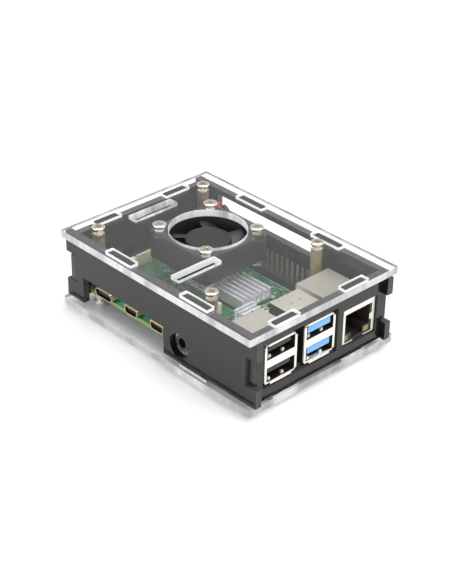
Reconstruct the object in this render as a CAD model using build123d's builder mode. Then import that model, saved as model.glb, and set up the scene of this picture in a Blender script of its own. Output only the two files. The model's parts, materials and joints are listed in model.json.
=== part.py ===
from build123d import *
import math
import os

# Single board computer in a laser-cut case: clear base and cover plates, four black side panels,
# brass standoffs and a 30 mm fan hung under the cover.
# Millimetres, +Z up. Origin: middle of the footprint, at the height the case rests on.
# Lengths below are taken from the board's datum corner (power connector end) and its upper face.
BX, BY, BZ = -42.4, -28.0, 8.5

# Circuit board
BOARD_L, BOARD_W, BOARD_T = 85.0, 56.0, 1.4
BOARD_R = 3.0
HOLE_X = (3.5, 61.5)
HOLE_Y = (3.5, 52.5)
CORNERS = [(x, y) for x in HOLE_X for y in HOLE_Y]

# Clear plates
PLATE_X0, PLATE_X1 = -5.4, 89.65
PLATE_Y0, PLATE_Y1 = -6.3, 62.3
PLATE_T = 2.65
COVER_Z0 = 20.05
COVER_Z1 = COVER_Z0 + PLATE_T
BASE_Z1 = -4.15
BASE_Z0 = BASE_Z1 - PLATE_T
SLOT_GAP, SLOT_GAP_OUT, SLOT_END_GAP = 0.4, 0.1, 0.9

# Black panels: where their two faces stand, and their height between the plates
PANEL_Z0, PANEL_Z1 = BASE_Z1, COVER_Z0
TAB_Z1 = COVER_Z1 - 0.35
FRONT_Y0, FRONT_Y1 = -3.95, -1.3
REAR_Y0, REAR_Y1 = 56.9, 59.55
PORT_X0, PORT_X1 = 85.6, 88.25
CARD_X0, CARD_X1 = -3.1, -0.45
LONG_X0, LONG_X1 = -5.6, 90.4
NOTCH_Z0, NOTCH_Z1 = 2.7, 13.6
FINGER_Z0, FINGER_Z1 = 3.6, 13.3
LONG_TABS = ((17.5, 29.0), (55.2, 66.7))
SHORT_TABS = ((6.7, 16.1), (38.7, 48.1))

# Fan
FAN_X, FAN_Y = 28.05, 32.6
FAN_SIZE, FAN_T = 30.0, 10.0
FAN_Z1 = COVER_Z0
FAN_Z0 = FAN_Z1 - FAN_T
FAN_PITCH = 24.0
FAN_DUCT_R = 14.0
FAN_HOLE_R = 13.9
HUB_R = 8.2
HUB_Z0, HUB_Z1 = 11.9, 19.0
BLADE_COUNT = 5
BLADE_TIP_R = 13.4
FAN_SCREWS = [(FAN_X + i * FAN_PITCH / 2, FAN_Y + j * FAN_PITCH / 2) for i in (-1, 1) for j in (-1, 1)]

# Screws, standoffs and nuts
SHANK_R = 1.22
THREAD_R = 1.25
CLEAR_R = 1.5
HEAD_H, FOOT_H = 1.45, 1.7
FAN_HEAD_R, COVER_HEAD_R, FOOT_R = 2.45, 2.3, 2.5
STANDOFF_AF = 4.6
NUT_AF, NUT_H = 5.0, 2.0

# Fan leads and their plug
LEAD_R, LEAD_BEND = 0.55, 1.2
PLUG_X0, PLUG_X1 = 9.64, 14.72
PLUG_Y0, PLUG_Y1 = 52.5, 55.04
PLUG_Z0, PLUG_Z1 = 2.6, 16.0

# Serial bus port stacks
USB_FACE, USB_BACK = 87.9, 70.9
USB_HALF = 6.6
USB_Z0, USB_Z1 = 1.0, 15.5
USB_PORTS = ((1.5, 7.2), (10.1, 15.2))
USB2_Y, USB3_Y = 9.45, 27.2
USB2_TONGUE = (87.1, 1.9)
USB3_TONGUE = (87.4, 2.4)
TONGUE_DROP = 0.6
SPRING_OFFSETS = (-4.0, 2.0)

# Network port
ETH_X0, ETH_X1 = 66.0, 87.4
ETH_Y0, ETH_Y1 = 38.2, 53.7
ETH_FLANGE_Y1 = 54.3
ETH_Z1 = 13.6

# Small ports, pin headers and flat cable connectors
USBC_X = 11.2
HDMI_X = (26.0, 39.5)
AUDIO_X, AUDIO_Z = 54.0, 3.0
PITCH = 2.54
GPIO_X, GPIO_Y, GPIO_COLS = 32.5, 52.5, 20
POE_X, POE_Y = 61.2, 46.1
RIBBON_L, RIBBON_MID = 20.0, 16.0
DISPLAY_X, DISPLAY_Y = 4.0, 28.0
CAMERA_X, CAMERA_Y = 46.8, 11.5

LOW = (Align.CENTER, Align.CENTER, Align.MIN)


def slab(x0, x1, y0, y1, z0, z1, mode=Mode.ADD):
    """A box between two corners measured from the board's datum."""
    with Locations((BX + (x0 + x1) / 2, BY + (y0 + y1) / 2, BZ + z0)):
        Box(x1 - x0, y1 - y0, z1 - z0, align=LOW, mode=mode)


def post(x, y, z0, z1, r, mode=Mode.ADD):
    """An upright cylinder."""
    with Locations((BX + x, BY + y, BZ + z0)):
        Cylinder(r, z1 - z0, align=LOW, mode=mode)


def rod_y(x, z, y0, y1, r, mode=Mode.ADD):
    """A cylinder lying along Y."""
    with Locations((BX + x, BY + (y0 + y1) / 2, BZ + z)):
        Cylinder(r, y1 - y0, rotation=(90, 0, 0), mode=mode)


def hexagon(x, y, z0, z1, across_flats, mode=Mode.ADD):
    """An upright hexagonal prism."""
    with BuildSketch(Plane.XY.offset(BZ + z0)) as outline:
        with Locations((BX + x, BY + y)):
            RegularPolygon(across_flats / 2, 6, major_radius=False)
    extrude(outline.sketch, amount=z1 - z0, mode=mode)


def rounded(x0, x1, y0, y1, z0, z1, r, mode=Mode.ADD):
    """A plate with rounded upright corners."""
    with BuildSketch(Plane.XY.offset(BZ + z0)) as outline:
        with Locations((BX + (x0 + x1) / 2, BY + (y0 + y1) / 2)):
            RectangleRounded(x1 - x0, y1 - y0, r)
    extrude(outline.sketch, amount=z1 - z0, mode=mode)


def save(node, name):
    node.part.label = name
    export_step(node.part, f"parts/{name}.step")


def screws(points, seat, shank, head_r, head_h, up=1):
    """Pan-head screws; the heads sit at height seat and the shanks run away from them."""
    for x, y in points:
        if up > 0:
            post(x, y, seat, seat + head_h, head_r)
            post(x, y, seat - shank, seat, SHANK_R)
        else:
            post(x, y, seat - head_h, seat, head_r)
            post(x, y, seat, seat + shank, SHANK_R)


def recess(points, top, up=1):
    """The cross recess in each head."""
    z0, z1 = (top - 0.9, top) if up > 0 else (top, top + 0.9)
    for x, y in points:
        slab(x - 1.25, x + 1.25, y - 0.28, y + 0.28, z0, z1, mode=Mode.SUBTRACT)
        slab(x - 0.28, x + 0.28, y - 1.25, y + 1.25, z0, z1, mode=Mode.SUBTRACT)


def tab_slots(z0, z1, front, rear):
    """Slots that the panel tabs pass through."""
    g, o, e = SLOT_GAP, SLOT_GAP_OUT, SLOT_END_GAP
    for a, b in front:
        slab(a - e, b + e, FRONT_Y0 - 2 * o, FRONT_Y1 + g, z0, z1, mode=Mode.SUBTRACT)
    for a, b in rear:
        slab(a - e, b + e, REAR_Y0 - g, REAR_Y1 + o, z0, z1, mode=Mode.SUBTRACT)
    for a, b in SHORT_TABS:
        slab(PORT_X0 - g, PORT_X1 + 2 * o, a - e, b + e, z0, z1, mode=Mode.SUBTRACT)
        slab(CARD_X0 - o, CARD_X1 + g, a - e, b + e, z0, z1, mode=Mode.SUBTRACT)


def long_panel(y0, y1, low_tabs):
    """Outline of a long panel: fingers at both ends, tabs above and below."""
    slab(LONG_X0, LONG_X1, y0, y1, PANEL_Z0, PANEL_Z1)
    slab(LONG_X0, CARD_X1 + 0.05, y0, y1, NOTCH_Z0, NOTCH_Z1, mode=Mode.SUBTRACT)
    slab(PORT_X0 - 0.3, LONG_X1, y0, y1, NOTCH_Z0, NOTCH_Z1, mode=Mode.SUBTRACT)
    for a, b in LONG_TABS:
        slab(a, b, y0, y1, PANEL_Z1, TAB_Z1)
    for a, b in low_tabs:
        slab(a, b, y0, y1, BASE_Z0, PANEL_Z0)


def short_panel(x0, x1, finger_y0, finger_y1):
    """Outline of a short panel: one finger at each end, tabs above and below."""
    slab(x0, x1, FRONT_Y1 + 0.05, REAR_Y0 - 0.05, PANEL_Z0, PANEL_Z1)
    slab(x0, x1, finger_y0, finger_y1, FINGER_Z0, FINGER_Z1)
    for a, b in SHORT_TABS:
        slab(x0, x1, a, b, PANEL_Z1, TAB_Z1)
        slab(x0, x1, a, b, BASE_Z0, PANEL_Z0)


os.makedirs("parts", exist_ok=True)

# ---------------------------------------------------------------- case plates
with BuildPart() as cover_plate:
    rounded(PLATE_X0, PLATE_X1, PLATE_Y0, PLATE_Y1, COVER_Z0, COVER_Z1, 0.4)
    tab_slots(COVER_Z0, COVER_Z1, LONG_TABS, LONG_TABS)
    post(FAN_X, FAN_Y, COVER_Z0, COVER_Z1, FAN_HOLE_R, mode=Mode.SUBTRACT)
    for x, y in FAN_SCREWS + CORNERS:
        post(x, y, COVER_Z0, COVER_Z1, CLEAR_R, mode=Mode.SUBTRACT)
    rounded(2.5, 6.7, 17.7, 37.4, COVER_Z0, COVER_Z1, 0.5, mode=Mode.SUBTRACT)
    rounded(43.6, 47.8, 1.4, 20.8, COVER_Z0, COVER_Z1, 0.5, mode=Mode.SUBTRACT)
save(cover_plate, "cover_plate")

with BuildPart() as base_plate:
    rounded(PLATE_X0, PLATE_X1, PLATE_Y0, PLATE_Y1, BASE_Z0, BASE_Z1, 1.0)
    tab_slots(BASE_Z0, BASE_Z1, LONG_TABS[1:], LONG_TABS)
    for x, y in CORNERS:
        post(x, y, BASE_Z0, BASE_Z1, CLEAR_R, mode=Mode.SUBTRACT)
save(base_plate, "base_plate")

# --------------------------------------------------------------- black panels
with BuildPart() as front_panel:
    long_panel(FRONT_Y0, FRONT_Y1, LONG_TABS[1:])
    slab(3.3, 46.0, FRONT_Y0, FRONT_Y1, PANEL_Z0, 6.2, mode=Mode.SUBTRACT)
    rod_y(53.9, 2.3, FRONT_Y0, FRONT_Y1, 4.6, mode=Mode.SUBTRACT)
save(front_panel, "front_panel")

with BuildPart() as rear_panel:
    long_panel(REAR_Y0, REAR_Y1, LONG_TABS)
    slab(6.5, 58.5, REAR_Y0, REAR_Y1, 11.7, 17.9, mode=Mode.SUBTRACT)
save(rear_panel, "rear_panel")

with BuildPart() as port_panel:
    short_panel(PORT_X0, PORT_X1, -2.2, 58.9)
    slab(PORT_X0, PORT_X1, 1.35, 35.4, -0.1, 16.8, mode=Mode.SUBTRACT)
    slab(PORT_X0, PORT_X1, 38.0, 54.6, -0.4, 14.1, mode=Mode.SUBTRACT)
save(port_panel, "port_panel")

with BuildPart() as card_panel:
    short_panel(CARD_X0, CARD_X1, FRONT_Y0, REAR_Y1)
    slab(CARD_X0, CARD_X1, 19.5, 36.5, PANEL_Z0, 1.0, mode=Mode.SUBTRACT)
save(card_panel, "card_panel")

# ------------------------------------------------------------- screws and posts
with BuildPart() as cover_screws:
    screws(CORNERS, COVER_Z1, PLATE_T + 5.0, COVER_HEAD_R, HEAD_H)
    tops = cover_screws.edges().filter_by(GeomType.CIRCLE).group_by(Axis.Z)[-1]
    fillet(tops, 0.5)
    recess(CORNERS, COVER_Z1 + HEAD_H)
save(cover_screws, "cover_screws")

with BuildPart() as base_screws:
    screws(CORNERS, BASE_Z0, 10.8, FOOT_R, FOOT_H, up=-1)
    lows = base_screws.edges().filter_by(GeomType.CIRCLE).group_by(Axis.Z)[0]
    fillet(lows, 0.6)
    recess(CORNERS, BASE_Z0 - FOOT_H, up=-1)
save(base_screws, "base_screws")

with BuildPart() as standoffs:
    for x, y in CORNERS:
        hexagon(x, y, 0.0, COVER_Z0, STANDOFF_AF)
        post(x, y, 0.0, COVER_Z0, THREAD_R, mode=Mode.SUBTRACT)
save(standoffs, "standoffs")

with BuildPart() as board_spacers:
    for x, y in CORNERS:
        post(x, y, BASE_Z1, -BOARD_T, 2.3)
        post(x, y, BASE_Z1, -BOARD_T, CLEAR_R, mode=Mode.SUBTRACT)
save(board_spacers, "board_spacers")

# --------------------------------------------------------------- circuit board
with BuildPart() as circuit_board:
    rounded(0, BOARD_L, 0, BOARD_W, -BOARD_T, 0.0, BOARD_R)
    for x, y in CORNERS:
        post(x, y, -BOARD_T, 0.0, 1.35, mode=Mode.SUBTRACT)
    for k in range(GPIO_COLS):
        for j in (-0.5, 0.5):
            post(GPIO_X + (k - 9.5) * PITCH, GPIO_Y + j * PITCH, -BOARD_T, 0.0, 0.5, mode=Mode.SUBTRACT)
    for yc in (USB2_Y, USB3_Y):
        for x in (74.0, 80.5):
            for s in (-1, 1):
                y = yc + s * 6.45
                slab(x - 0.7, x + 0.7, y - 0.25, y + 0.25, -BOARD_T, 0.0, mode=Mode.SUBTRACT)
save(circuit_board, "circuit_board")

with BuildPart() as solder_pads:
    for x, y in CORNERS:
        post(x, y, 0.0, 0.05, 3.0)
        slab(x - 3.0, x + 3.0, y - 3.0, y + 3.0, 0.05, 0.06, mode=Mode.SUBTRACT)
        hexagon(x, y, -0.1, 0.1, STANDOFF_AF + 0.1, mode=Mode.SUBTRACT)
    for k in range(15):
        for x, y in ((DISPLAY_X, DISPLAY_Y - 7.0 + k), (CAMERA_X, CAMERA_Y - 7.0 + k)):
            slab(x + 1.9, x + 2.6, y - 0.25, y + 0.25, 0.0, 0.12)
save(solder_pads, "solder_pads")

# ------------------------------------------------------------------------- fan
HALF = FAN_SIZE / 2
with BuildPart() as fan_frame:
    rounded(FAN_X - HALF, FAN_X + HALF, FAN_Y - HALF, FAN_Y + HALF, FAN_Z0, FAN_Z1, 2.5)
    post(FAN_X, FAN_Y, FAN_Z0, FAN_Z1, FAN_DUCT_R, mode=Mode.SUBTRACT)
    for x, y in FAN_SCREWS:
        post(x, y, FAN_Z0, FAN_Z1, CLEAR_R, mode=Mode.SUBTRACT)
    # motor base on four struts, with the bearing tube standing on it
    with Locations((BX + FAN_X, BY + FAN_Y, BZ + FAN_Z0)):
        with PolarLocations(0, 4, start_angle=45):
            Box(28.6, 1.6, 1.2, align=LOW)
    post(FAN_X, FAN_Y, FAN_Z0, FAN_Z0 + 1.2, 8.0)
    post(FAN_X, FAN_Y, FAN_Z0 + 1.2, FAN_Z0 + 6.6, 1.8)
    post(FAN_X, FAN_Y, FAN_Z0 + 0.4, FAN_Z0 + 6.6, 0.80, mode=Mode.SUBTRACT)
    # notch for the leads
    slab(16.3, 20.2, FAN_Y + HALF - 1.6, FAN_Y + HALF, FAN_Z0, FAN_Z0 + 1.6, mode=Mode.SUBTRACT)
save(fan_frame, "fan_frame")

with BuildPart() as fan_coils:
    post(FAN_X, FAN_Y, FAN_Z0 + 1.8, FAN_Z0 + 5.0, 5.2)
    post(FAN_X, FAN_Y, FAN_Z0 + 1.8, FAN_Z0 + 5.0, 1.82, mode=Mode.SUBTRACT)
save(fan_coils, "fan_coils")

with BuildPart() as fan_impeller:
    post(FAN_X, FAN_Y, HUB_Z0, HUB_Z1, HUB_R)
    post(FAN_X, FAN_Y, HUB_Z0, HUB_Z1 - 1.0, HUB_R - 0.7, mode=Mode.SUBTRACT)
    fillet(fan_impeller.faces().sort_by(Axis.Z)[-1].edges(), 0.5)
    post(FAN_X, FAN_Y, HUB_Z1 - 1.9, HUB_Z1 - 1.0, 1.7)
    post(FAN_X, FAN_Y, HUB_Z1 - 1.9, HUB_Z1 - 1.3, 0.75, mode=Mode.SUBTRACT)
    for k in range(BLADE_COUNT):
        # each blade is lofted from a long chord at the hub to a short one at the tip
        lead = 80.0 + 360.0 / BLADE_COUNT * k
        root_turn = lead - 27.0
        tip_turn = lead - 11.0
        with BuildSketch(
            Plane(
                origin=(
                    BX + FAN_X + 7.6 * math.cos(math.radians(root_turn)),
                    BY + FAN_Y + 7.6 * math.sin(math.radians(root_turn)),
                    BZ + 15.4,
                ),
                x_dir=(-math.sin(math.radians(root_turn)), math.cos(math.radians(root_turn)), 0),
                z_dir=(math.cos(math.radians(root_turn)), math.sin(math.radians(root_turn)), 0),
            )
        ):
            Rectangle(8.6, 0.75, rotation=34)
        with BuildSketch(
            Plane(
                origin=(
                    BX + FAN_X + BLADE_TIP_R * math.cos(math.radians(tip_turn)),
                    BY + FAN_Y + BLADE_TIP_R * math.sin(math.radians(tip_turn)),
                    BZ + 15.9,
                ),
                x_dir=(-math.sin(math.radians(tip_turn)), math.cos(math.radians(tip_turn)), 0),
                z_dir=(math.cos(math.radians(tip_turn)), math.sin(math.radians(tip_turn)), 0),
            )
        ):
            Rectangle(6.2, 0.6, rotation=30)
        loft(ruled=True)
    post(FAN_X, FAN_Y, HUB_Z0 - 2, HUB_Z1 - 1.9, HUB_R - 0.7, mode=Mode.SUBTRACT)
save(fan_impeller, "fan_impeller")

with BuildPart() as fan_magnet:
    post(FAN_X, FAN_Y, 12.4, 16.6, HUB_R - 0.72)
    post(FAN_X, FAN_Y, 12.4, 16.6, HUB_R - 1.9, mode=Mode.SUBTRACT)
save(fan_magnet, "fan_magnet")

with BuildPart() as fan_shaft:
    post(FAN_X, FAN_Y, FAN_Z0 + 0.7, HUB_Z1 - 1.35, 0.745)
save(fan_shaft, "fan_shaft")

with BuildPart() as fan_screws:
    screws(FAN_SCREWS, COVER_Z1, PLATE_T + FAN_T + NUT_H + 0.6, FAN_HEAD_R, HEAD_H)
    tops = fan_screws.edges().filter_by(GeomType.CIRCLE).group_by(Axis.Z)[-1]
    fillet(tops, 0.5)
    recess(FAN_SCREWS, COVER_Z1 + HEAD_H)
save(fan_screws, "fan_screws")

with BuildPart() as fan_nuts:
    for x, y in FAN_SCREWS:
        hexagon(x, y, FAN_Z0 - NUT_H, FAN_Z0, NUT_AF)
        post(x, y, FAN_Z0 - NUT_H, FAN_Z0, THREAD_R, mode=Mode.SUBTRACT)
save(fan_nuts, "fan_nuts")

# Fan leads: out of the notch, up the frame's side, over the header and down into the plug


def lead(x_fan, y_up, x_pin, bends=()):
    """One lead: it rises at y_up, turns at the bends and drops into the plug over its pin."""
    z_low, z_high = FAN_Z0 + 0.75, PLUG_Z1 + LEAD_BEND
    y_fan, y_pin = FAN_Y + HALF - 1.5, 53.77
    points = [
        (x_fan, y_fan, z_low),
        (x_fan, y_up, z_low),
        (x_fan, y_up, z_high),
        *[(x, y, z_high) for x, y in bends],
        (x_pin, y_pin, z_high),
        (x_pin, y_pin, PLUG_Z1 - 1.0),
    ]
    with BuildLine() as route:
        FilletPolyline(*[(BX + x, BY + y, BZ + z) for x, y, z in points], radius=LEAD_BEND)
    with BuildSketch(Plane(origin=route.line @ 0, z_dir=route.line % 0)) as section:
        Circle(LEAD_R)
    sweep(section.sketch, path=route.line)


with BuildPart() as fan_lead_red:
    lead(17.0, 50.2, 10.91, [(11.7, 51.5)])
save(fan_lead_red, "fan_lead_red")

with BuildPart() as fan_lead_black:
    lead(19.5, 51.0, 13.45)
save(fan_lead_black, "fan_lead_black")

with BuildPart() as fan_plug:
    slab(PLUG_X0, PLUG_X1, PLUG_Y0, PLUG_Y1, PLUG_Z0, PLUG_Z1)
    for x in (10.91, 13.45):
        slab(x - 0.36, x + 0.36, 53.41, 54.13, PLUG_Z0, 9.4, mode=Mode.SUBTRACT)
        post(x, 53.77, PLUG_Z1 - 1.0, PLUG_Z1, LEAD_R + 0.02, mode=Mode.SUBTRACT)
save(fan_plug, "fan_plug")

# ----------------------------------------------------------- USB port stacks


def usb_shell(yc):
    """Folded metal shell with two port openings and lips round its mouth."""
    slab(USB_BACK, USB_FACE - 0.3, yc - USB_HALF, yc + USB_HALF, USB_Z0, USB_Z1)
    for z0, z1 in USB_PORTS:
        slab(USB_BACK + 3.0, USB_FACE, yc - 6.25, yc + 6.25, z0, z1, mode=Mode.SUBTRACT)
    slab(USB_FACE - 0.9, USB_FACE, yc - 6.25, yc + 6.25, 7.2, 10.1)
    # lips: top, bottom and both sides
    slab(USB_FACE - 0.6, USB_FACE, yc - 5.6, yc + 5.6, USB_Z1 - 0.3, USB_Z1 + 0.5)
    slab(USB_FACE - 0.6, USB_FACE, yc - 4.6, yc + 5.0, USB_Z0 - 0.5, USB_Z0 + 0.3)
    slab(USB_FACE - 0.6, USB_FACE, yc - 7.2, yc - 6.25, 1.9, 15.0)
    slab(USB_FACE - 0.6, USB_FACE, yc + 6.25, yc + 7.2, 1.9, 14.6)
    # springs standing up from the floor of each port
    for z0, z1 in USB_PORTS:
        for k in SPRING_OFFSETS:
            slab(USB_FACE - 2.0, USB_FACE - 1.2, yc + k - 0.55, yc + k + 0.55, z0, z0 + 0.9)
    # solder legs through the board
    for x in (74.0, 80.5):
        for s in (-1, 1):
            slab(x - 0.6, x + 0.6, yc + s * 6.45 - 0.15, yc + s * 6.45 + 0.15, -1.4, USB_Z0)


def usb_tongues(yc, front, thick):
    """Plastic body behind both ports, with one tongue in each."""
    for z0, z1 in USB_PORTS:
        top = z1 - TONGUE_DROP
        slab(USB_BACK + 3.0, USB_BACK + 7.0, yc - 6.2, yc + 6.2, z0 + 0.02, z1 - 0.02)
        slab(USB_BACK + 7.0, front, yc - 5.2, yc + 5.2, top - thick, top)


def usb_contacts(yc, front, thick):
    """Four flat contacts under each tongue."""
    for z0, z1 in USB_PORTS:
        under = z1 - TONGUE_DROP - thick
        for k in (-3.5, -1.0, 1.0, 3.5):
            slab(USB_BACK + 7.5, front - 0.9, yc + k - 0.5, yc + k + 0.5, under - 0.15, under)


with BuildPart() as usb2_shell:
    usb_shell(USB2_Y)
save(usb2_shell, "usb2_shell")

with BuildPart() as usb3_shell:
    usb_shell(USB3_Y)
save(usb3_shell, "usb3_shell")

with BuildPart() as usb2_tongues:
    usb_tongues(USB2_Y, *USB2_TONGUE)
save(usb2_tongues, "usb2_tongues")

with BuildPart() as usb3_tongues:
    usb_tongues(USB3_Y, *USB3_TONGUE)
save(usb3_tongues, "usb3_tongues")

with BuildPart() as usb2_contacts:
    usb_contacts(USB2_Y, *USB2_TONGUE)
save(usb2_contacts, "usb2_contacts")

with BuildPart() as usb3_contacts:
    usb_contacts(USB3_Y, *USB3_TONGUE)
save(usb3_contacts, "usb3_contacts")

# ------------------------------------------------------------------- Ethernet
with BuildPart() as ethernet_shell:
    slab(ETH_X0, ETH_X1, ETH_Y0, ETH_Y1, 0.0, ETH_Z1)
    slab(ETH_X0 + 0.4, ETH_X1 - 0.4, ETH_Y0 + 0.4, ETH_Y1 - 0.4, 0.0, ETH_Z1 - 0.4, mode=Mode.SUBTRACT)
    slab(ETH_X1 - 0.4, ETH_X1, 38.6, ETH_FLANGE_Y1, 0.0, ETH_Z1)
    slab(ETH_X1 - 0.6, ETH_X1, 40.0, 53.1, 0.4, 11.4, mode=Mode.SUBTRACT)
    slab(ETH_X1 - 0.6, ETH_X1, 44.0, 49.1, 0.0, 0.4, mode=Mode.SUBTRACT)
    # grounding tab at the side of the opening
    slab(ETH_X1 - 0.4, ETH_X1, 52.0, 53.1, 5.0, 7.4)
save(ethernet_shell, "ethernet_shell")

with BuildPart() as ethernet_insert:
    slab(ETH_X0 + 0.4, ETH_X1 - 0.4, ETH_Y0 + 0.4, ETH_Y1 - 0.4, 0.0, ETH_Z1 - 0.4)
    # plug cavity with a narrower channel for the plug's latch along its floor
    slab(ETH_X1 - 13.0, ETH_X1, 40.6, 52.4, 3.4, 11.2, mode=Mode.SUBTRACT)
    slab(ETH_X1 - 13.0, ETH_X1, 43.4, 49.2, 0.9, 3.4, mode=Mode.SUBTRACT)
    slab(ETH_X1 - 6.0, ETH_X1, 40.3, 42.6, 0.6, 2.8, mode=Mode.SUBTRACT)
    slab(ETH_X1 - 6.0, ETH_X1, 49.7, 52.6, 0.6, 2.8, mode=Mode.SUBTRACT)
save(ethernet_insert, "ethernet_insert")

with BuildPart() as ethernet_contacts:
    for k in range(8):
        y = 42.9 + 1.02 * k
        slab(ETH_X1 - 12.9, ETH_X1 - 4.5, y - 0.2, y + 0.2, 10.0, 10.4)
        slab(ETH_X1 - 12.9, ETH_X1 - 12.5, y - 0.2, y + 0.2, 10.4, 11.18)
save(ethernet_contacts, "ethernet_contacts")

with BuildPart() as link_light_pipe:
    slab(ETH_X1 - 5.9, ETH_X1 - 0.7, 40.4, 42.5, 0.7, 2.7)
save(link_light_pipe, "link_light_pipe")

with BuildPart() as activity_light_pipe:
    slab(ETH_X1 - 5.9, ETH_X1 - 0.7, 49.8, 52.5, 0.7, 2.7)
save(activity_light_pipe, "activity_light_pipe")

# --------------------------------------------------- small ports at the front
with BuildPart() as power_port_shell:
    with BuildSketch(Plane.XZ.offset(-(BY - 1.4))):
        with Locations((BX + USBC_X, BZ + 1.65)):
            RectangleRounded(8.9, 3.2, 1.4)
            RectangleRounded(8.4, 2.6, 1.25, mode=Mode.SUBTRACT)
    extrude(amount=-7.3)
    with BuildSketch(Plane.XZ.offset(-(BY + 5.4))):
        with Locations((BX + USBC_X, BZ + 1.65)):
            RectangleRounded(8.6, 2.9, 1.3)
    extrude(amount=-0.5)
save(power_port_shell, "power_port_shell")

with BuildPart() as power_port_tongue:
    slab(USBC_X - 3.3, USBC_X + 3.3, -0.9, 5.4, 1.3, 2.0)
save(power_port_tongue, "power_port_tongue")

with BuildPart() as video_port_shells:
    for x in HDMI_X:
        with BuildSketch(Plane.XZ.offset(-(BY - 1.4))):
            with Locations((BX + x, BZ)):
                Polygon(
                    (-3.3, 3.25), (3.3, 3.25), (3.3, 1.2), (2.5, 0.05), (-2.5, 0.05), (-3.3, 1.2), align=None)
                Polygon(
                    (-3.0, 2.95), (3.0, 2.95), (3.0, 1.3), (2.35, 0.35), (-2.35, 0.35), (-3.0, 1.3),
                    align=None, mode=Mode.SUBTRACT,
                )
        extrude(amount=-7.4)
        slab(x - 3.1, x + 3.1, 5.4, 6.0, 0.35, 3.0)
save(video_port_shells, "video_port_shells")

with BuildPart() as video_port_tongues:
    for x in HDMI_X:
        slab(x - 2.2, x + 2.2, -0.6, 5.4, 1.35, 2.0)
save(video_port_tongues, "video_port_tongues")

with BuildPart() as audio_jack:
    slab(AUDIO_X - 3.5, AUDIO_X + 3.5, 0.0, 12.5, 0.0, 6.0)
    rod_y(AUDIO_X, AUDIO_Z, -2.6, 0.0, 2.95)
    rod_y(AUDIO_X, AUDIO_Z, -2.6, 11.4, 1.8, mode=Mode.SUBTRACT)
save(audio_jack, "audio_jack")

# --------------------------------------------------------------- pin headers
with BuildPart() as header_base:
    slab(GPIO_X - 25.4, GPIO_X + 25.4, GPIO_Y - PITCH, GPIO_Y + PITCH, 0.0, 2.5)
    for k in range(GPIO_COLS):
        for j in (-0.5, 0.5):
            x, y = GPIO_X + (k - 9.5) * PITCH, GPIO_Y + j * PITCH
            slab(x - 0.33, x + 0.33, y - 0.33, y + 0.33, 0.0, 2.5, mode=Mode.SUBTRACT)
save(header_base, "header_base")

with BuildPart() as header_pins:
    for k in range(GPIO_COLS):
        for j in (-0.5, 0.5):
            x, y = GPIO_X + (k - 9.5) * PITCH, GPIO_Y + j * PITCH
            slab(x - 0.32, x + 0.32, y - 0.32, y + 0.32, -3.0, 8.6)
save(header_pins, "header_pins")

with BuildPart() as power_header_base:
    slab(POE_X - PITCH, POE_X + PITCH, POE_Y - PITCH, POE_Y + PITCH, 0.0, 2.5)
save(power_header_base, "power_header_base")

with BuildPart() as power_header_pins:
    for i in (-0.5, 0.5):
        for j in (-0.5, 0.5):
            x, y = POE_X + i * PITCH, POE_Y + j * PITCH
            slab(x - 0.32, x + 0.32, y - 0.32, y + 0.32, 2.5, 8.0)
save(power_header_pins, "power_header_pins")

# ------------------------------------------------- flat cable connectors


def ribbon_body(x, y):
    """Cream body: a tall thin wall, lower end cheeks, and a foot with a slot for the cable."""
    half, mid = RIBBON_L / 2, RIBBON_MID / 2
    slab(x - 2.6, x + 0.4, y - half, y + half, 0.0, 2.2)
    slab(x - 1.6, x + 0.4, y - half, y + half, 2.2, 4.0)
    slab(x - 1.6, x - 0.4, y - mid, y + mid, 2.2, 4.0, mode=Mode.SUBTRACT)
    slab(x - 0.4, x + 0.4, y - mid, y + mid, 2.2, 4.8)
    slab(x - 1.1, x - 0.5, y - mid + 0.4, y + mid - 0.4, 0.6, 2.2, mode=Mode.SUBTRACT)


def ribbon_latch(x, y):
    """Dark bar that is lifted to free the cable."""
    slab(x - 2.5, x - 0.7, y - RIBBON_MID / 2 + 0.4, y + RIBBON_MID / 2 - 0.4, 2.6, 4.2)


with BuildPart() as display_connector:
    ribbon_body(DISPLAY_X, DISPLAY_Y)
save(display_connector, "display_connector")

with BuildPart() as display_latch:
    ribbon_latch(DISPLAY_X, DISPLAY_Y)
save(display_latch, "display_latch")

with BuildPart() as camera_connector:
    ribbon_body(CAMERA_X, CAMERA_Y)
save(camera_connector, "camera_connector")

with BuildPart() as camera_latch:
    ribbon_latch(CAMERA_X, CAMERA_Y)
save(camera_latch, "camera_latch")

# --------------------------------------------------------- chips and coolers
with BuildPart() as processor:
    rounded(21.75, 36.75, 25.0, 40.0, 0.0, 1.0, 0.5)
    rounded(22.75, 35.75, 26.0, 39.0, 1.0, 2.3, 0.5)
save(processor, "processor")

with BuildPart() as memory_chip:
    slab(38.9, 48.9, 26.0, 41.0, 0.0, 1.0)
save(memory_chip, "memory_chip")

with BuildPart() as support_chips:
    slab(54.5, 62.5, 20.3, 28.3, 0.0, 0.85)
    slab(54.6, 61.6, 36.2, 43.2, 0.0, 0.85)
    slab(9.6, 14.6, 9.6, 14.6, 0.0, 0.9)
    slab(62.9, 64.9, 30.4, 33.4, 0.0, 0.8)
save(support_chips, "support_chips")


def cooler(x0, x1, y0, y1, z0, z1, fins, along_x):
    """Aluminium base with upright fins."""
    slab(x0, x1, y0, y1, z0, z0 + 1.0)
    for k in range(fins):
        t = 0.75
        if along_x:
            y = y0 + k * (y1 - y0 - t) / (fins - 1)
            slab(x0, x1, y, y + t, z0 + 1.0, z1)
        else:
            x = x0 + k * (x1 - x0 - t) / (fins - 1)
            slab(x, x + t, y0, y1, z0 + 1.0, z1)


with BuildPart() as thermal_pads:
    slab(22.25, 36.25, 25.5, 39.5, 2.3, 2.6)
    slab(38.9, 48.9, 26.2, 39.8, 1.0, 1.2)
    slab(54.6, 62.4, 20.5, 28.2, 0.85, 1.05)
save(thermal_pads, "thermal_pads")

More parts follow.
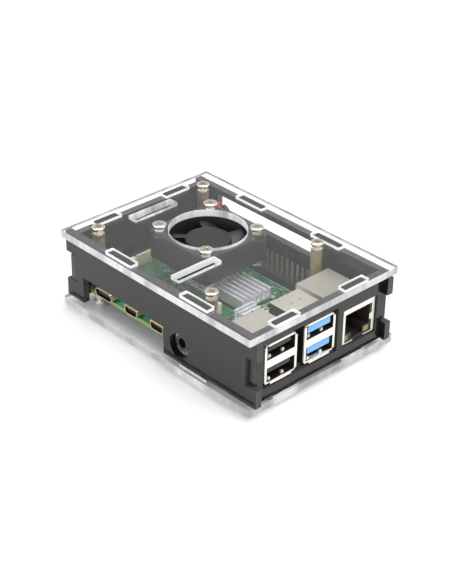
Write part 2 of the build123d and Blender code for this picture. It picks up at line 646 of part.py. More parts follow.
with BuildPart() as processor_cooler:
    cooler(22.25, 36.25, 25.5, 39.5, 2.6, 7.2, 7, True)
save(processor_cooler, "processor_cooler")

with BuildPart() as memory_cooler:
    cooler(38.5, 52.5, 26.0, 40.0, 1.2, 5.3, 7, True)
save(memory_cooler, "memory_cooler")

with BuildPart() as hub_cooler:
    cooler(54.4, 62.6, 20.2, 28.8, 1.05, 5.2, 5, False)
save(hub_cooler, "hub_cooler")

with BuildPart() as wireless_shield:
    rounded(4.6, 15.2, 39.4, 48.4, 0.0, 1.6, 0.6)
    for k in range(5):
        post(6.2 + 1.9 * k, 46.9, 1.5, 1.6, 0.35, mode=Mode.SUBTRACT)
save(wireless_shield, "wireless_shield")

with BuildPart() as inductors:
    for x, y, s in ((17.2, 10.2, 3.0), (17.2, 14.0, 3.0), (8.0, 16.5, 2.6), (64.9, 38.2, 2.2)):
        slab(x - s / 2, x + s / 2, y - s / 2, y + s / 2, 0.0, 1.8)
save(inductors, "inductors")

CAP_SPOTS = (
    (19.8, 3.0, 0), (19.8, 5.2, 0), (32.4, 3.2, 1), (33.8, 3.2, 1), (20.6, 8.2, 1), (22.4, 8.2, 1),
    (26.0, 9.4, 0), (28.0, 9.4, 0), (31.2, 10.4, 1), (35.6, 9.2, 1), (39.6, 9.4, 0), (12.6, 18.8, 0),
    (15.0, 18.8, 0), (18.6, 21.6, 1), (18.6, 24.4, 1), (18.6, 29.6, 1), (22.4, 21.8, 0), (26.6, 22.2, 0),
    (31.0, 21.6, 0), (35.2, 22.0, 0), (39.8, 22.8, 1), (42.2, 20.4, 1), (41.6, 44.0, 0), (45.4, 44.6, 0),
    (50.8, 43.6, 1), (53.2, 45.8, 1), (53.4, 33.4, 1), (53.4, 30.4, 1), (55.0, 17.6, 0), (59.0, 17.4, 0),
    (64.6, 16.8, 1), (66.6, 20.8, 1), (66.6, 24.6, 1), (66.2, 28.0, 1), (63.6, 35.8, 0), (51.4, 23.0, 1),
    (51.4, 19.8, 1), (59.8, 31.4, 0), (57.0, 32.6, 0), (56.4, 34.8, 0), (54.4, 34.7, 0),
    (35.4, 46.4, 0), (29.2, 46.2, 0), (45.0, 47.4, 0), (47.4, 46.0, 0), (50.3, 47.1, 0),
)
with BuildPart() as ceramic_capacitors:
    for x, y, turned in CAP_SPOTS:
        a, b = (0.35, 0.65) if turned else (0.65, 0.35)
        slab(x - a, x + a, y - b, y + b, 0.0, 0.75)
save(ceramic_capacitors, "ceramic_capacitors")

with BuildPart() as crystals:
    rounded(50.6, 52.8, 40.6, 42.3, 0.0, 0.7, 0.2)
    rounded(64.3, 66.1, 12.6, 15.0, 0.0, 0.7, 0.2)
save(crystals, "crystals")

with BuildPart() as status_lights:
    for y in (7.8, 9.6):
        slab(0.8, 1.6, y - 0.5, y + 0.5, 0.0, 0.6)
save(status_lights, "status_lights")

with BuildPart() as card_socket:
    slab(1.2, 13.2, 21.8, 34.2, -2.8, -1.4)
    slab(1.2, 12.4, 22.4, 33.6, -2.55, -1.7, mode=Mode.SUBTRACT)
save(card_socket, "card_socket")
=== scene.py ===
import json
import math

import bmesh
import bpy
from mathutils import Matrix, Vector


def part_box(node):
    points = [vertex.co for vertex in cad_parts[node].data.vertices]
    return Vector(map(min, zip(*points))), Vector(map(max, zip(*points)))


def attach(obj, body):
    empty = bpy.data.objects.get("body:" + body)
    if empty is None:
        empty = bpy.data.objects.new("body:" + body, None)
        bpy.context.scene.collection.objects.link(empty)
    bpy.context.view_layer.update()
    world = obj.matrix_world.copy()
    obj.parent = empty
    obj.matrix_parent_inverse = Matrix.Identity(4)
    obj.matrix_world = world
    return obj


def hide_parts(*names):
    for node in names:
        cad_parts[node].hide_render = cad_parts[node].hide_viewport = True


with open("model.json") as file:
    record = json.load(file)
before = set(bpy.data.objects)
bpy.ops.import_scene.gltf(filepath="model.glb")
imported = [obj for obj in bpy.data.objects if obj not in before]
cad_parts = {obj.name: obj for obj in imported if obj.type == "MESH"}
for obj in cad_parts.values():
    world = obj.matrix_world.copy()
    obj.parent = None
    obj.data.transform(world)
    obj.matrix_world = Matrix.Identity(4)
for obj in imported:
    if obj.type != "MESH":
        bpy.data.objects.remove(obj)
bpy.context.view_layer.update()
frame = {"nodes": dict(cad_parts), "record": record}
NODES = frame["nodes"]
MM = 0.001
BODY_OF = {n: b for b, ns in frame["record"]["behaviour"]["bodies"].items() for n in ns}
SLOT_OF = {p["node"]: p["material_slot"] for p in frame["record"]["subparts"]}

# Heights above the board's datum and lengths, in millimetres
GLASS_GAPS = ((20.05, -0.03), (-4.15, 0.03))  # inner faces of the clear plates, and the gap left there
COVER_TOP, BASE_UNDER = 22.7, -6.8            # outer faces of the clear plates
MERGE = 0.002                                 # corners closer than this are one
FLAT_DEG, SMOOTH_DEG, SHARP_DEG = 0.6, 32.0, 35.0
FACING = 0.98                                 # a face points along an axis from this cosine on

# Board datum in the row frame: the board's corner by the power connector, at its upper face
_lo, _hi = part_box("circuit_board")
DATUM = Vector((_lo.x, _lo.y, _hi.z))


def at(x, y, z):
    """A point given in millimetres from the board's datum, in the row frame."""
    return DATUM + Vector((x, y, z)) * MM


def from_datum(p):
    """A point of the row frame in millimetres from the board's datum."""
    return (p - DATUM) / MM


# ------------------------------------------------------------------ materials
def rgb(r, g, b):
    """A linear colour from display values 0 to 255."""
    def one(c):
        c /= 255.0
        return c / 12.92 if c <= 0.04045 else ((c + 0.055) / 1.055) ** 2.4
    return (one(r), one(g), one(b), 1.0)


class Mat:
    """A Principled material with a few helpers for wiring procedural detail."""

    def __init__(self, name, color, rough=0.5, **sockets):
        self.m = bpy.data.materials.new(name)
        self.m.use_nodes = True
        self.t = self.m.node_tree
        self.b = self.t.nodes["Principled BSDF"]
        self.b.inputs["Base Color"].default_value = color
        self.b.inputs["Roughness"].default_value = rough
        for k, v in sockets.items():
            self.b.inputs[k.replace("_", " ")].default_value = v
        self._co = None

    def link(self, a, b):
        self.t.links.new(a, b)

    def node(self, kind, **props):
        n = self.t.nodes.new(kind)
        for k, v in props.items():
            setattr(n, k, v)
        return n

    @property
    def co(self):
        """Position in millimetres."""
        if self._co is None:
            tc = self.node("ShaderNodeTexCoord")
            sc = self.node("ShaderNodeVectorMath", operation="SCALE")
            sc.inputs["Scale"].default_value = 1000.0
            self.link(tc.outputs["Object"], sc.inputs[0])
            self._co = sc.outputs[0]
        return self._co

    def stretch(self, x, y, z):
        v = self.node("ShaderNodeVectorMath", operation="MULTIPLY")
        self.link(self.co, v.inputs[0])
        v.inputs[1].default_value = (x, y, z)
        return v.outputs[0]

    def noise(self, scale, detail=2.0, rough=0.5, co=None):
        n = self.node("ShaderNodeTexNoise")
        n.inputs["Scale"].default_value = scale
        n.inputs["Detail"].default_value = detail
        n.inputs["Roughness"].default_value = rough
        self.link(co or self.co, n.inputs["Vector"])
        return n.outputs["Fac"]

    def cells(self, scale, out="Distance", metric="EUCLIDEAN", randomness=1.0):
        n = self.node("ShaderNodeTexVoronoi", feature="F1", distance=metric)
        n.inputs["Scale"].default_value = scale
        n.inputs["Randomness"].default_value = randomness
        self.link(self.co, n.inputs["Vector"])
        return n.outputs[out]

    def span(self, fac, a, b, lo=0.0, hi=1.0):
        """fac from a..b mapped to lo..hi and clamped."""
        n = self.node("ShaderNodeMapRange")
        n.inputs["From Min"].default_value = a
        n.inputs["From Max"].default_value = b
        n.inputs["To Min"].default_value = lo
        n.inputs["To Max"].default_value = hi
        self.link(fac, n.inputs["Value"])
        return n.outputs[0]

    def math(self, op, a, b=None):
        n = self.node("ShaderNodeMath", operation=op)
        for i, v in enumerate((a, b)):
            if v is None:
                continue
            if isinstance(v, (int, float)):
                n.inputs[i].default_value = v
            else:
                self.link(v, n.inputs[i])
        return n.outputs[0]

    def mix(self, fac, a, b):
        """Two colours, or colour outputs, mixed by fac."""
        n = self.node("ShaderNodeMix", data_type="RGBA")
        self.link(fac, n.inputs[0])
        for i, v in ((6, a), (7, b)):
            if isinstance(v, tuple):
                n.inputs[i].default_value = v
            else:
                self.link(v, n.inputs[i])
        return n.outputs[2]

    def color(self, socket):
        self.link(socket, self.b.inputs["Base Color"])

    def rough(self, socket):
        self.link(socket, self.b.inputs["Roughness"])

    def bump(self, height, distance_mm, strength=1.0):
        n = self.node("ShaderNodeBump")
        n.inputs["Distance"].default_value = distance_mm * MM
        n.inputs["Strength"].default_value = strength
        self.link(height, n.inputs["Height"])
        self.link(n.outputs[0], self.b.inputs["Normal"])

    def lamps_pass(self, tint):
        """Lamps reach what is behind this glass."""
        out = self.t.nodes["Material Output"]
        path = self.node("ShaderNodeLightPath")
        clear = self.node("ShaderNodeBsdfTransparent")
        clear.inputs["Color"].default_value = tint
        m = self.node("ShaderNodeMixShader")
        self.link(path.outputs["Is Shadow Ray"], m.inputs[0])
        self.link(self.b.outputs[0], m.inputs[1])
        self.link(clear.outputs[0], m.inputs[2])
        self.link(m.outputs[0], out.inputs["Surface"])


def shade(c, k):
    """Colour c made brighter or darker by the factor k."""
    return (min(1.0, c[0] * k), min(1.0, c[1] * k), min(1.0, c[2] * k), 1.0)


def clear_sheet():
    """Polished faces of the clear acrylic."""
    m = Mat("clear_acrylic", (0.985, 0.99, 0.99, 1), 0.0, Transmission_Weight=1.0, IOR=1.49)
    m.rough(m.span(m.noise(0.05, 3.0), 0.62, 0.8, 0.0, 0.02))
    m.lamps_pass((0.985, 0.99, 0.99, 1))
    return m.m


def cut_edge(name, clear, rough, dark, light, glow=0.0):
    """Laser-cut edges of the clear acrylic, frosted, with patches painted from dark to light for the dark case
    reflected in them, and a painted glow for light gathered in the sheet."""
    m = Mat(name, (0.96, 0.96, 0.975, 1), rough, Transmission_Weight=clear, IOR=1.49)
    # painted reflection: patches from dark to light stand for the dark case seen in the edges
    painted_reflection = m.noise(0.16, 2.5, co=m.stretch(1.0, 1.0, 0.1))
    m.color(m.mix(m.span(painted_reflection, 0.36, 0.56), shade((1, 1, 1.03), dark), shade((1, 1, 1.01), light)))
    m.rough(m.span(m.noise(2.0, 2.0), 0.3, 0.7, rough * 0.85, rough * 1.15))
    # painted glow: the edges give off light as if it were gathered in the sheet
    m.b.inputs["Emission Color"].default_value = (0.97, 0.98, 1.0, 1)
    m.b.inputs["Emission Strength"].default_value = glow
    m.lamps_pass((0.8, 0.8, 0.82, 1))
    return m.m


def black_sheet():
    """Glossy black acrylic with faint dust and hairline scratches."""
    black, dust = rgb(22, 21, 22), rgb(120, 118, 116)
    m = Mat("black_acrylic", black, 0.05, IOR=1.49, Specular_IOR_Level=0.44)
    specks = m.span(m.cells(1.6), 0.015, 0.05, 1.0, 0.0)
    m.color(m.mix(m.math("MULTIPLY", specks, 0.25), black, dust))
    hair = m.noise(1.0, 2.0, co=m.stretch(0.25, 0.25, 1.2))
    m.rough(m.span(hair, 0.4, 0.8, 0.045, 0.075))
    return m.m


def plated(name, color, rough, grain=None, spots=0.12, bump=0.4, metal=1.0):
    """Plated metal with slight mottling and handling marks."""
    m = Mat(name, color, rough, Metallic=metal)
    mottle = m.noise(0.9, 4.0, 0.6)
    m.color(m.mix(m.span(mottle, 0.35, 0.7), shade(color, 1.0 + spots), shade(color, 1.0 - spots)))
    fine = m.noise(1.0, 3.0, co=m.stretch(*grain)) if grain else m.noise(6.0, 3.0)
    m.rough(m.span(fine, 0.3, 0.7, rough * 0.75, rough * 1.35))
    m.bump(fine, 0.003, bump)
    return m.m


def painted_shade_metal(name, color, rough, metal):
    """Metal painted darker for the shade it lies in, such as the inner walls of a port."""
    m = Mat(name, color, rough, Metallic=metal)
    m.color(m.mix(m.span(m.noise(1.2, 3.0), 0.3, 0.7), shade(color, 0.75), shade(color, 1.25)))
    return m.m


def plastic(name, color, rough, speck=0.1, grain=5.0, bump=0.006):
    """Moulded plastic with fine grain and a slight colour drift."""
    m = Mat(name, color, rough)
    m.color(m.mix(m.span(m.noise(0.6, 3.0), 0.3, 0.7), shade(color, 1 - speck), shade(color, 1 + speck)))
    fine = m.noise(grain, 2.0)
    m.rough(m.span(fine, 0.3, 0.7, rough * 0.85, min(1.0, rough * 1.15)))
    m.bump(fine, bump, 0.6)
    return m.m


def board_green():
    """Solder mask over copper: buried traces, a ground mesh, vias and a pale cut edge."""
    base, trace, deep = rgb(30, 98, 66), rgb(58, 138, 96), rgb(18, 70, 48)
    m = Mat("green_solder_mask", base, 0.28, Coat_Weight=0.3, Coat_Roughness=0.12)
    sep = m.node("ShaderNodeSeparateXYZ")
    m.link(m.co, sep.inputs[0])
    x, y = sep.outputs[0], sep.outputs[1]

    def lines(value, pitch, width):
        wave = m.math("PINGPONG", value, pitch / 2)
        return m.math("LESS_THAN", wave, width / 2)

    across = lines(y, 0.62, 0.24)
    along = lines(x, 0.62, 0.24)
    slant = lines(m.math("ADD", x, y), 0.88, 0.3)
    region = m.cells(0.17, out="Color", metric="MANHATTAN")
    rs = m.node("ShaderNodeSeparateColor")
    m.link(region, rs.inputs[0])
    pick1 = m.math("GREATER_THAN", rs.outputs[0], 0.55)
    pick2 = m.math("GREATER_THAN", rs.outputs[1], 0.6)
    pick3 = m.math("GREATER_THAN", rs.outputs[2], 0.7)
    copper = m.math(
        "MAXIMUM",
        m.math("MULTIPLY", across, pick1),
        m.math("MAXIMUM", m.math("MULTIPLY", along, pick2), m.math("MULTIPLY", slant, pick3)),
    )
    pour = m.math("GREATER_THAN", m.noise(0.12, 1.0), 0.52)
    copper = m.math("MAXIMUM", copper, m.math("MULTIPLY", pour, 0.55))
    via = m.span(m.cells(0.55, randomness=0.9), 0.06, 0.1, 1.0, 0.0)
    col = m.mix(copper, base, trace)
    col = m.mix(m.span(m.noise(0.35, 3.0), 0.3, 0.75), col, deep)
    col = m.mix(via, col, rgb(168, 190, 150))
    geo = m.node("ShaderNodeNewGeometry")
    nz = m.node("ShaderNodeSeparateXYZ")
    m.link(geo.outputs["True Normal"], nz.inputs[0])
    side = m.math("LESS_THAN", m.math("ABSOLUTE", nz.outputs[2]), 0.5)
    col = m.mix(side, col, rgb(128, 158, 84))
    m.color(col)
    m.rough(m.math("ADD", m.math("MULTIPLY", side, 0.35), 0.26))
    m.bump(copper, 0.03, 0.6)
    return m.m


def lens(name, color):
    """Cloudy tinted plastic that light comes through."""
    m = Mat(name, color, 0.35, Transmission_Weight=0.6, IOR=1.5)
    m.rough(m.span(m.noise(3.0, 2.0), 0.3, 0.7, 0.25, 0.45))
    return m.m


MATS = {
    "clear_acrylic": clear_sheet(),
    # cut edges: painted reflection in patches from dark to light, and a painted glow that is strongest on the rim
    # slots
    "cover_edge": cut_edge("clear_cover_edge", 0.08, 0.5, 0.40, 0.66, 0.02),
    "slot_edge": cut_edge("clear_slot_edge", 0.0, 0.5, 0.85, 0.98, 0.26),
    "vent_edge": cut_edge("clear_vent_edge", 0.0, 0.5, 0.4, 0.95, 0.06),
    "base_edge": cut_edge("clear_base_edge", 0.55, 0.4, 0.66, 0.98),
    "black_acrylic": black_sheet(),
    "black_cut": plastic("black_cut_edge", rgb(58, 56, 55), 0.55, grain=3.0),
    "nickel": plated("nickel", (0.86, 0.81, 0.72, 1), 0.14, spots=0.05),
    "brass": plated("brass", (0.57, 0.47, 0.27, 1), 0.36, grain=(1.5, 1.5, 12.0)),
    "pale_spacer": plated("pale_spacer", (0.80, 0.77, 0.66, 1), 0.32, grain=(1.5, 1.5, 10.0)),
    "green_solder_mask": board_green(),
    "solder": plated("solder", (0.78, 0.77, 0.73, 1), 0.3),
    "black_plastic": plastic("black_plastic", rgb(36, 35, 37), 0.42),
    "glossy_black": plastic("glossy_black", rgb(28, 27, 28), 0.14, grain=2.0),
    "gilt_rim": plated("gilt_rim", (0.66, 0.55, 0.36, 1), 0.3, spots=0.25, bump=0.2, metal=0.9),
    "copper_wire": plated("copper_wire", (0.72, 0.36, 0.18, 1), 0.3, grain=(1.0, 1.0, 14.0)),
    "magnet": plastic("magnet", rgb(58, 57, 57), 0.6, grain=9.0, bump=0.02),
    "steel": plated("steel", (0.62, 0.62, 0.62, 1), 0.25, grain=(1.0, 1.0, 16.0)),
    "red_insulation": plastic("red_insulation", rgb(196, 30, 42), 0.38, grain=2.0),
    "black_insulation": plastic("black_insulation", rgb(26, 26, 28), 0.38, grain=2.0),
    "tinned_shell": plated(
        "tinned_shell", (0.93, 0.89, 0.81, 1), 0.34, grain=(0.3, 0.3, 2.0), spots=0.03, bump=0.05, metal=0.65),
    # roofs of the port shells: the same plate painted darker as shade
    "shaded_shell_top": plated("shaded_shell_top", (0.56, 0.53, 0.465, 1), 0.4, spots=0.03, bump=0.12, metal=0.8),
    "shaded_jack_top": plated("shaded_jack_top", (0.42, 0.40, 0.35, 1), 0.4, spots=0.04, bump=0.12, metal=0.8),
    "jack_shell": plated("jack_shell", (0.82, 0.77, 0.70, 1), 0.36, spots=0.04, bump=0.05, metal=0.75),
    "socket_plastic": plastic("socket_plastic", rgb(50, 46, 43), 0.35, grain=2.0),
    "socket_shell": plated("socket_shell", (0.62, 0.56, 0.46, 1), 0.26, spots=0.1, bump=0.1, metal=0.9),
    # insides of the ports: their plates painted darker as shade
    "shaded_shell": painted_shade_metal("shaded_shell", rgb(70, 64, 58), 0.4, 0.8),
    "shaded_gilt_shell": painted_shade_metal("shaded_gilt_shell", rgb(150, 112, 52), 0.35, 0.8),
    "white_print": plastic("white_print", rgb(222, 226, 222), 0.6),
    "blue_plastic": plastic("blue_plastic", rgb(112, 180, 234), 0.34, speck=0.04),
    "gold_contacts": plated("gold_contacts", (0.90, 0.80, 0.58, 1), 0.3, spots=0.05, bump=0.1, metal=0.75),
    "pin_metal": plated("pin_metal", (0.66, 0.61, 0.50, 1), 0.28, spots=0.06, bump=0.1, metal=0.95),
    "green_lens": lens("green_lens", rgb(120, 190, 130)),
    "yellow_lens": lens("yellow_lens", rgb(214, 198, 120)),
    "cream_plastic": plastic("cream_plastic", rgb(222, 216, 190), 0.4, speck=0.04),
    "dark_latch": plastic("dark_latch", rgb(62, 52, 46), 0.36),
    "chip_package": plastic("chip_package", rgb(40, 40, 43), 0.5, grain=10.0, bump=0.01),
    "chip_lid": plated("chip_lid", (0.72, 0.72, 0.70, 1), 0.3),
    "thermal_pad": plastic("thermal_pad", rgb(150, 158, 176), 0.7, grain=2.5, bump=0.03),
    "anodised_aluminium": plated(
        "anodised_aluminium", (0.80, 0.80, 0.84, 1), 0.34, grain=(0.3, 2.0, 2.0), spots=0.04, bump=0.1, metal=0.6),
    "ceramic": plastic("ceramic", rgb(176, 150, 118), 0.45, speck=0.15),
    "ferrite": plastic("ferrite", rgb(96, 96, 100), 0.6, grain=8.0, bump=0.02),
    "light_window": lens("light_window", (0.9, 0.9, 0.86, 1)),
}


# -------------------------------------------------------------- mesh helpers
def weld(bm, flatten=True):
    """Joins the corners of bm, and with flatten the triangles of each flat face.

    Flattening can leave a stray face across an opening, so shells with one do without."""
    bmesh.ops.remove_doubles(bm, verts=bm.verts, dist=MERGE * MM)
    if flatten:
        bmesh.ops.dissolve_limit(
            bm, angle_limit=math.radians(FLAT_DEG), verts=bm.verts, edges=bm.edges, use_dissolve_boundaries=False)


def mesh_of(node, flatten=True):
    """The node's CAD mesh, welded."""
    bm = bmesh.new()
    bm.from_mesh(NODES[node].data)
    weld(bm, flatten)
    return bm


def eased(bm):
    """Opens a hairline gap where a part would touch the clear plates."""
    for v in bm.verts:
        z = (v.co.z - DATUM.z) / MM
        for plane, shift in GLASS_GAPS:
            if abs(z - plane) < 0.004:
                v.co.z += shift * MM


def piece(name, bm, slot, body, mats=None, replace=()):
    """Makes an object from bm and puts it on its body."""
    me = bpy.data.meshes.new(name)
    bm.normal_update()
    bm.to_mesh(me)
    bm.free()
    if "custom_normal" in me.attributes:
        me.attributes.remove(me.attributes["custom_normal"])
    for m in mats or [MATS[slot]]:
        me.materials.append(m)
    o = bpy.data.objects.new(name, me)
    bpy.context.scene.collection.objects.link(o)
    me.shade_smooth()
    me.set_sharp_from_angle(angle=math.radians(SMOOTH_DEG))
    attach(o, body)
    if replace:
        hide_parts(*replace)
    return o


def fine(node, bm, mats=None):
    """Makes bm the piece that stands for the node."""
    return piece(node + "_fine", bm, SLOT_OF[node], BODY_OF[node], mats, (node,))


def bevel_sharp(bm, width, segments, min_deg=SHARP_DEG):
    """Breaks the edges of bm that are sharper than min_deg, over width millimetres."""
    edges = [e for e in bm.edges if len(e.link_faces) == 2 and e.calc_face_angle(0) > math.radians(min_deg)]
    bmesh.ops.bevel(
        bm, geom=edges, offset=width * MM, offset_type="OFFSET", segments=segments, profile=0.6,
        affect="EDGES", clamp_overlap=True, harden_normals=False)


def softened(node, width, segments=1, mats=None, pick=None, flatten=True):
    """The node's own shape with broken edges.

    pick gives each face its place in mats; flatten is as in weld."""
    bm = mesh_of(node, flatten)
    if SLOT_OF[node] != "clear_acrylic":
        eased(bm)
    bevel_sharp(bm, width, segments)
    bm.normal_update()
    if pick:
        for f in bm.faces:
            f.material_index = pick(f)
    return fine(node, bm, mats)


def box_into(bm, x0, x1, y0, y1, z0, z1, mat=0):
    """A box in millimetres from the board's datum."""
    made = bmesh.ops.create_cube(bm, size=1.0)["verts"]
    lo, hi = at(x0, y0, z0), at(x1, y1, z1)
    for v in made:
        v.co = Vector([(lo[i] + hi[i]) / 2 + v.co[i] * (hi[i] - lo[i]) for i in range(3)])
    for f in {f for v in made for f in v.link_faces}:
        f.material_index = mat
    return made


def parts_of(node):
    """Boxes, in millimetres, of a node's loose solids."""
    bm = mesh_of(node, flatten=False)
    left, found = set(bm.verts), []
    while left:
        stack, group = [left.pop()], []
        while stack:
            v = stack.pop()
            group.append(from_datum(v.co))
            for e in v.link_edges:
                w = e.other_vert(v)
                if w in left:
                    left.discard(w)
                    stack.append(w)
        found.append((
            Vector([min(p[i] for p in group) for i in range(3)]),
            Vector([max(p[i] for p in group) for i in range(3)])))
    bm.free()
    return sorted(found, key=lambda b: tuple(round(c, 3) for c in b[0]))


def axes_of(node):
    """Upright axes, as x and y, of a node's loose solids."""
    return [((lo.x + hi.x) / 2, (lo.y + hi.y) / 2) for lo, hi in parts_of(node)]


def nearest(axes, p):
    """The axis closest to p, and p's distance from it."""
    x, y = min(axes, key=lambda c: (p.x - c[0]) ** 2 + (p.y - c[1]) ** 2)
    return x, y, math.hypot(p.x - x, p.y - y)


# ----------------------------------------------------------- case and fixings
COVER_LO, COVER_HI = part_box("cover_plate")
AUDIO, HOLE_R = Vector((53.9, 0.0, 2.3)), 5.0  # the round hole of the front panel
OUTER_EDGE, RIM_BAND = 0.3, 6.5                # outer edges and rim slots lie within this of the outline


def edge_kind(f):
    """0 for polished faces, 1 for the outer edges, 2 for slots along the rim, 3 for the openings inside."""
    if abs(f.normal.z) > FACING:
        return 0
    c = f.calc_center_median()
    rim = min(c.x - COVER_LO.x, COVER_HI.x - c.x, c.y - COVER_LO.y, COVER_HI.y - c.y) / MM
    if rim < OUTER_EDGE:
        return 1
    return 2 if rim < RIM_BAND else 3


softened("cover_plate", 0.14, 1, [
    MATS[k] for k in ("clear_acrylic", "cover_edge", "slot_edge", "vent_edge")], edge_kind)
softened("base_plate", 0.14, 1, [
    MATS[k] for k in ("clear_acrylic", "base_edge", "base_edge", "base_edge")], edge_kind)


def panel_face(axis):
    """Picks the cut edges of a panel, leaving the wall of its round hole in the glossy black of the faces, glossy
    as it looks and darker than the other cut edges as painted shade.
    """
    def pick(f):
        c = from_datum(f.calc_center_median())
        in_hole = math.hypot(c.x - AUDIO.x, c.z - AUDIO.z) < HOLE_R and c.y < 0
        return 0 if abs(f.normal[axis]) > FACING or in_hole else 1
    return pick


for panel, axis in (("front_panel", 1), ("rear_panel", 1), ("port_panel", 0), ("card_panel", 0)):
    softened(panel, 0.08, 1, [MATS["black_acrylic"], MATS["black_cut"]], panel_face(axis))

for name, width, seg in (
    ("board_spacers", 0.15, 2), ("fan_nuts", 0.2, 2), ("fan_frame", 0.18, 2),
    ("circuit_board", 0.04, 1), ("fan_plug", 0.12, 2), ("header_base", 0.1, 1),
    ("power_header_base", 0.1, 1), ("display_connector", 0.12, 2),
    ("camera_connector", 0.12, 2), ("display_latch", 0.1, 2), ("camera_latch", 0.1, 2),
    ("processor", 0.06, 1), ("memory_chip", 0.06, 1), ("support_chips", 0.06, 1),
    ("processor_cooler", 0.07, 1), ("memory_cooler", 0.07, 1), ("hub_cooler", 0.07, 1),
    ("wireless_shield", 0.08, 2), ("inductors", 0.2, 2), ("usb2_tongues", 0.15, 2),
    ("usb3_tongues", 0.15, 2), ("card_socket", 0.05, 1), ("crystals", 0.08, 2),
):
    softened(name, width, seg)
softened("audio_jack", 0.15, 2, [MATS["glossy_black"]], flatten=False)


# ------------------------------------------------------------------- port shells
def inside(boxes, roof=math.inf):
    """Picks the second material for faces whose middle lies in one of the boxes, the third for upper faces
    above the height roof."""
    def pick(f):
        c = from_datum(f.calc_center_median())
        if c.z > roof and f.normal.z > 0.9:
            return 2
        return int(any(all(b[2 * i] < c[i] < b[2 * i + 1] for i in range(3)) for b in boxes))
    return pick


for name, mid in (("usb2_shell", 9.45), ("usb3_shell", 27.2)):
    # port walls, without the springs on their floors, and the outer side walls behind the lips, all in painted
    # shade; roofs too
    shaded = [(70.0, 85.85, mid - 6.3, mid + 6.3, z0 - 0.05, z1 + 0.05) for z0, z1 in ((1.5, 7.2), (10.1, 15.2))]
    shaded += [(70.0, 87.2, mid + s * 6.6 - 0.02, mid + s * 6.6 + 0.02, 1.0, 15.4) for s in (-1, 1)]
    softened(
        name, 0.1, 2, [MATS["tinned_shell"], MATS["shaded_shell"], MATS["shaded_shell_top"]], inside(shaded, 15.0))
# inside the network jack and on its roof: the plate painted darker as shade
softened(
    "ethernet_shell", 0.1, 1, [MATS["jack_shell"], MATS["shaded_shell"], MATS["shaded_jack_top"]],
    inside([(68.0, 87.0, 38.8, 54.2, 0.5, 12.9)], 13.0), flatten=False)
softened("ethernet_insert", 0.1, 1, [MATS["socket_plastic"]])


def shell_holes():
    """Small latch holes in the roofs of the USB shells: a patch painted dark as the shade in the hole, and a lip
    in the lighter plate as a painted highlight.
    """
    bm = bmesh.new()
    half_x, half_y, lip = 0.22, 0.4, 0.36
    under, hole_top, lip_top = 15.585, 15.605, 15.604
    for x, y in ((76.0, 25.6), (76.1, 29.5), (70.7, 8.1), (71.2, 12.4)):
        box_into(bm, x - half_x, x + half_x, y - half_y, y + half_y, under, hole_top, 0)
        box_into(bm, x - lip, x - half_x, y - half_y, y + half_y, under, lip_top, 1)
    return piece(
        "usb_shell_holes", bm, "tinned_shell", BODY_OF["usb3_shell"], [MATS["shaded_shell"], MATS["tinned_shell"]])


shell_holes()

# inside the power port: the shell painted darker as shade
softened("power_port_shell", 0.05, 1, [MATS["socket_shell"], MATS["shaded_shell"]], inside([
    (6.95, 15.45, -1.3, 6.2, 0.3, 3.0)]))
# inside the video ports: the gilt painted darker as shade
softened("video_port_shells", 0.05, 1, [MATS["gilt_rim"], MATS["shaded_gilt_shell"]], inside([
    (x - 3.05, x + 3.05, -1.3, 6.2, 0.3, 3.0) for x in (26.0, 39.5)]))


# -------------------------------------------------------------------------- fan
def lathe(bm, x, y, profile, n=64):
    """Turns a list of (radius, height) round an upright axis."""
    rings = []
    for r, z in profile:
        if r == 0:
            rings.append([bm.verts.new(at(x, y, z))] * n)
        else:
            rings.append([bm.verts.new(at(
                x + r * math.cos(2 * math.pi * k / n), y + r * math.sin(2 * math.pi * k / n), z))
                for k in range(n)])
    for a, b in zip(rings, rings[1:]):
        for k in range(n):
            loop = []
            for v in (a[k], b[k], b[(k + 1) % n], a[(k + 1) % n]):
                if v not in loop:
                    loop.append(v)
            if len(loop) > 2:
                bm.faces.new(loop)


def impeller():
    """Hub with five swept, twisted blades."""
    x0, y0 = 28.05, 32.6
    root, reach = 7.9, 5.45               # where a blade starts, and how far out it goes from there
    wide, loss, curve = 54.0, 26.0, 0.75  # degrees a blade spans at its root, and how that shrinks outwards
    lead, pitch, count = 80.0, 72.0, 5    # first blade's angle, the angle between blades, and their number
    bm = bmesh.new()
    lathe(bm, x0, y0, [
        (0, 19.0), (6.7, 19.0), (6.8, 18.93), (7.0, 18.93), (7.1, 19.0), (7.7, 19.0), (7.95, 18.93),
        (8.13, 18.76), (8.2, 18.5), (8.2, 11.9), (7.5, 11.9), (7.5, 18.0), (1.7, 18.0), (1.7, 17.1),
        (0.76, 17.1), (0.76, 17.7), (0, 17.7)])
    across, out, half = 12, 8, 0.3
    for k in range(count):
        sheets = []
        for side in (half, -half):
            grid = []
            for i in range(out + 1):
                u = i / out
                r = root + reach * u
                span = wide - loss * u ** curve
                high, low = 18.65 - 0.2 * u, 15.3 + 1.0 * u
                row = []
                for j in range(across + 1):
                    v = j / across
                    turn = math.radians(lead + pitch * k - span * v)
                    z = high - (high - low) * v ** 2 + side * min(1.0, 6 * v + 0.3)
                    row.append(bm.verts.new(at(x0 + r * math.cos(turn), y0 + r * math.sin(turn), z)))
                grid.append(row)
            sheets.append(grid)
        top, under = sheets
        for i in range(out):
            for j in range(across):
                bm.faces.new((top[i][j], top[i + 1][j], top[i + 1][j + 1], top[i][j + 1]))
                bm.faces.new((under[i][j], under[i][j + 1], under[i + 1][j + 1], under[i + 1][j]))
        rim = [(i, 0) for i in range(out + 1)] + [(out, j) for j in range(1, across + 1)]
        rim += [(i, across) for i in range(out - 1, -1, -1)] + [(0, j) for j in range(across - 1, 0, -1)]
        for a, b in zip(rim, rim[1:] + rim[:1]):
            bm.faces.new((top[a[0]][a[1]], under[a[0]][a[1]], under[b[0]][b[1]], top[b[0]][b[1]]))
    bmesh.ops.recalc_face_normals(bm, faces=bm.faces)
    return fine("fan_impeller", bm)


impeller()


